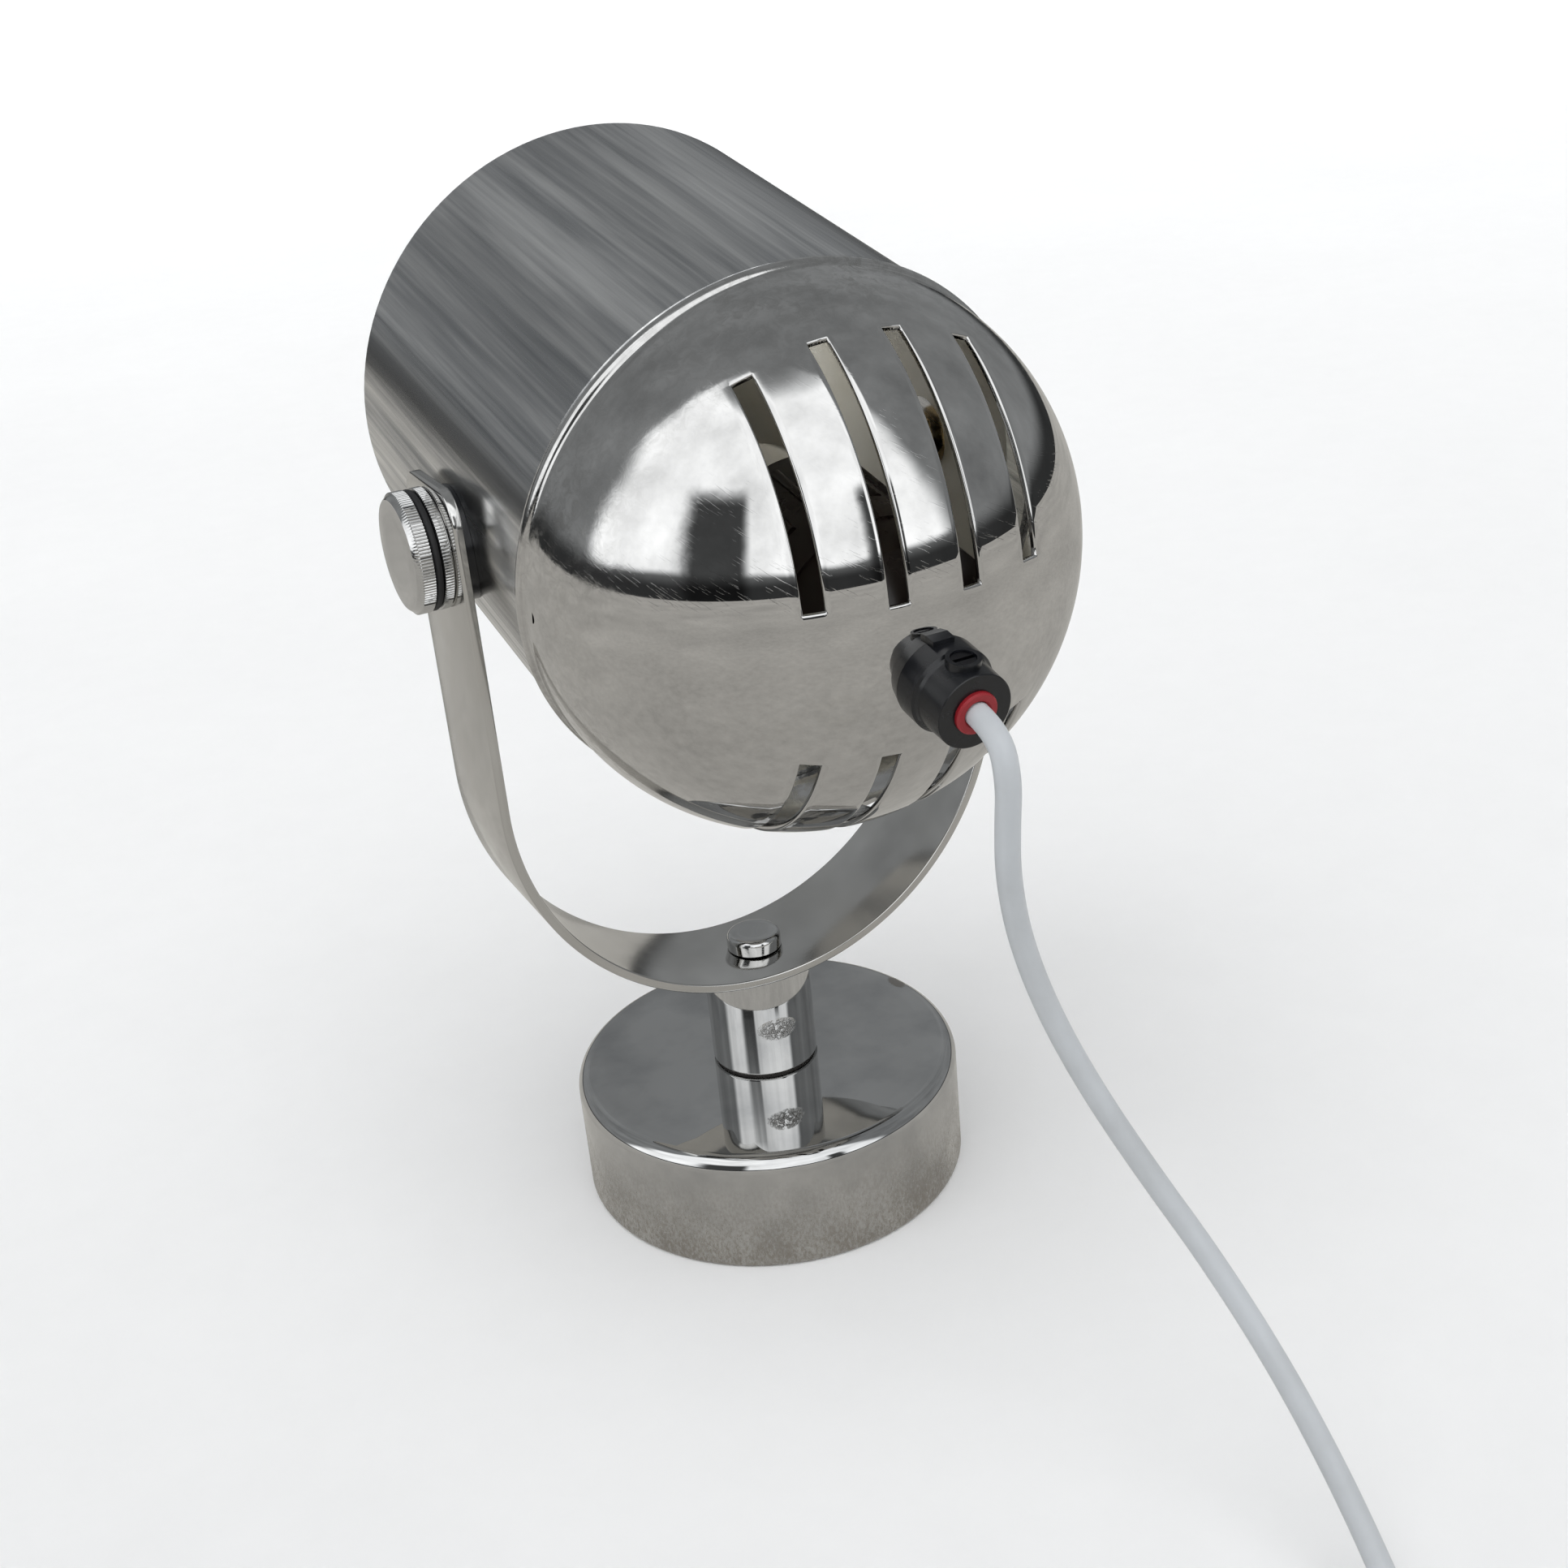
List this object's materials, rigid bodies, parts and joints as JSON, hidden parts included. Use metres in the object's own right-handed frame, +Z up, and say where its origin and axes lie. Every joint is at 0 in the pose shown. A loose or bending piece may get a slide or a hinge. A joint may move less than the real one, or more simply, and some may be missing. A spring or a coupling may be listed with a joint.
{
  "type": "track spotlight",
  "caption": "Small chrome spotlight: cylindrical shade with slotted rear dome, tilting in a strip yoke with side clamping knobs, on a swivel post and weighted round base, with mains lead.",
  "frame": {"origin": "centre of the felt pad's underside, on the surface the lamp stands on, on the post's axis", "axes": "+Z up along the post; X along the yoke's tilt axis; light leaves toward -Y; the slotted dome and the lead are toward +Y"},
  "size_m": [0.155, 0.309, 0.2334],
  "materials": {
    "chrome": "polished chrome plate",
    "dark_iron": "rough cast",
    "zinc": "zinc plated",
    "felt": "black felt",
    "fibre": "dark vulcanised fibre",
    "black_gloss": "moulded, glossy",
    "black_rubber": "matt",
    "red_bush": "moulded",
    "enamel": "cream white enamel",
    "brass": "plain",
    "holder": "dark brown moulding",
    "glass": "clear front, silvered body",
    "cable": "white flexible sheath",
    "plug": "white moulded"
  },
  "bodies": {
    "base": {"base_shell": "chrome", "base_weight": "dark_iron", "base_plate": "zinc", "foot_pad": "felt", "plate_screws": "zinc", "friction_washer": "fibre", "spring_washer": "zinc"},
    "yoke": {"post": "chrome", "swivel_rod": "zinc", "swivel_nut": "zinc", "yoke": "chrome", "yoke_screw": "chrome", "cable_lead": "cable", "cable_tail": "cable", "cable_coil": "cable", "plug_sleeve": "plug", "plug_body": "plug", "plug_pins": "brass"},
    "head": {"spacers": "black_gloss", "studs": "zinc", "stud_nuts": "brass", "shade_tube": "chrome", "shade_liner": "enamel", "rear_dome": "chrome", "nipple": "brass", "dome_washer": "zinc", "nipple_nut": "brass", "holder_cap": "holder", "holder_body": "holder", "holder_shell": "brass", "holder_contact": "brass", "lamp_cap": "brass", "lamp_glass": "glass", "inner_leads": "cable", "grip_body": "black_gloss", "grip_screw": "zinc", "grip_bush": "red_bush", "cable_stub": "cable"},
    "knob_left": {"knob_left": "chrome", "ring_left": "black_rubber"},
    "knob_right": {"knob_right": "chrome", "ring_right": "black_rubber"}
  },
  "joints": [
    {"name": "yoke_swivel", "type": "hinge", "parent": "base", "child": "yoke", "pos_m": [0, 0, 0.0288], "axis": [0, 0, 1], "range_deg": [-170, 170]},
    {"name": "head_tilt", "type": "hinge", "parent": "yoke", "child": "head", "pos_m": [0, 0, 0.165], "axis": [1, 0, 0], "range_deg": [-50, 90], "deforming": ["cable_lead"]},
    {"name": "knob_left_turn", "type": "hinge", "parent": "head", "child": "knob_left", "pos_m": [0.062, 0, 0.165], "axis": [1, 0, 0], "range_deg": [-180, 180]},
    {"name": "knob_right_turn", "type": "hinge", "parent": "head", "child": "knob_right", "pos_m": [-0.062, 0, 0.165], "axis": [1, 0, 0], "range_deg": [-180, 180]}
  ]
}
